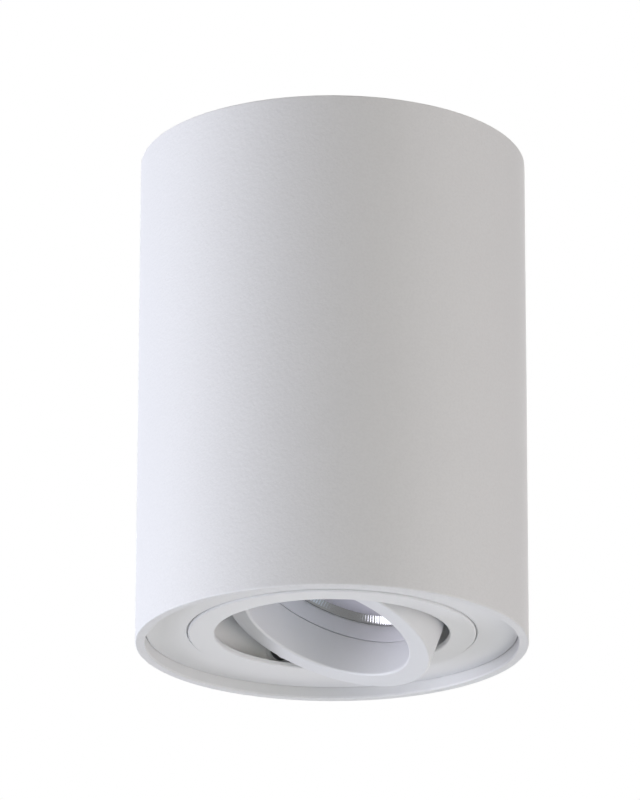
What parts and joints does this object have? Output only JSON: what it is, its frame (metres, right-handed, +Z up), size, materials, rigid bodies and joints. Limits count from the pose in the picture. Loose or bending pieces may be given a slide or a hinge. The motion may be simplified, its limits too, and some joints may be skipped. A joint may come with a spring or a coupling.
{
  "type": "surface mounted ceiling spotlight",
  "caption": "Cylindrical surface mounted ceiling spotlight with a recessed trim plate, a swivel ring and a tilting lamp cup holding a twist-lock reflector lamp.",
  "frame": {"origin": "centre of the face that meets the ceiling, on the tube's axis", "axes": "+Z up into the ceiling along the tube's axis, +X along the mounting bracket"},
  "size_m": [0.096, 0.096, 0.1307],
  "materials": {
    "housing_paint": "fine-textured powder coat",
    "trim_paint": "satin powder coat",
    "zinc_steel": "zinc plated",
    "spring_steel": "oiled spring steel",
    "screw_steel": "nickel plated",
    "brass": "turned",
    "rubber_black": "matte",
    "block_plastic": "natural",
    "glide_plastic": "smooth",
    "bearing_plastic": "smooth",
    "silicone": "satin",
    "lamp_plastic": "satin",
    "lens": "moulded",
    "light_board": "solder mask",
    "ceramic": "unglazed ceramic",
    "lead_silicone": "silicone rubber",
    "earth_insulation": "green and yellow",
    "tie_nylon": "natural nylon",
    "copper": "bright"
  },
  "bodies": {
    "housing": {"housing_tube": "housing_paint", "ceiling_bracket": "zinc_steel", "side_set_screws": "screw_steel", "cable_grommet": "rubber_black", "terminal_block": "block_plastic", "terminal_clamps": "brass", "terminal_screws": "screw_steel", "terminal_block_screw": "screw_steel", "earth_washer": "zinc_steel", "earth_lug": "copper", "earth_screw": "brass", "earth_lead": "earth_insulation", "trim_plate": "trim_paint", "trim_spring_clips": "spring_steel", "trim_clip_rivets": "zinc_steel", "leads_upper": "lead_silicone"},
    "swivel": {"swivel_ring": "trim_paint", "swivel_glide_washer": "glide_plastic", "swivel_circlip": "spring_steel", "lead_tie": "tie_nylon"},
    "lamp_cup": {"pivot_screws": "screw_steel", "pivot_bushes": "bearing_plastic", "pivot_spring_washers": "spring_steel", "lamp_cup": "trim_paint", "lamp_seat_ring": "silicone", "lamp_retaining_spring": "spring_steel", "lamp_body": "lamp_plastic", "lamp_lens": "lens", "lamp_light_board": "light_board", "lamp_base": "lamp_plastic", "lamp_pins": "screw_steel", "lampholder_body": "ceramic", "lampholder_contacts": "copper", "lampholder_cover": "ceramic", "lampholder_screw": "screw_steel", "leads_lower": "lead_silicone"}
  },
  "joints": [
    {"name": "swivel_turn", "type": "hinge", "parent": "housing", "child": "swivel", "pos_m": [0, 0, -0.1179], "axis": [0, 0, 1], "range_deg": [-175, 175], "deforming": ["leads_upper"]},
    {"name": "cup_tilt", "type": "hinge", "parent": "swivel", "child": "lamp_cup", "pos_m": [0, 0, -0.1179], "axis": [-0.4352, 0.9003, 0], "range_deg": [-46.2, 3.8], "deforming": ["leads_lower"]}
  ]
}
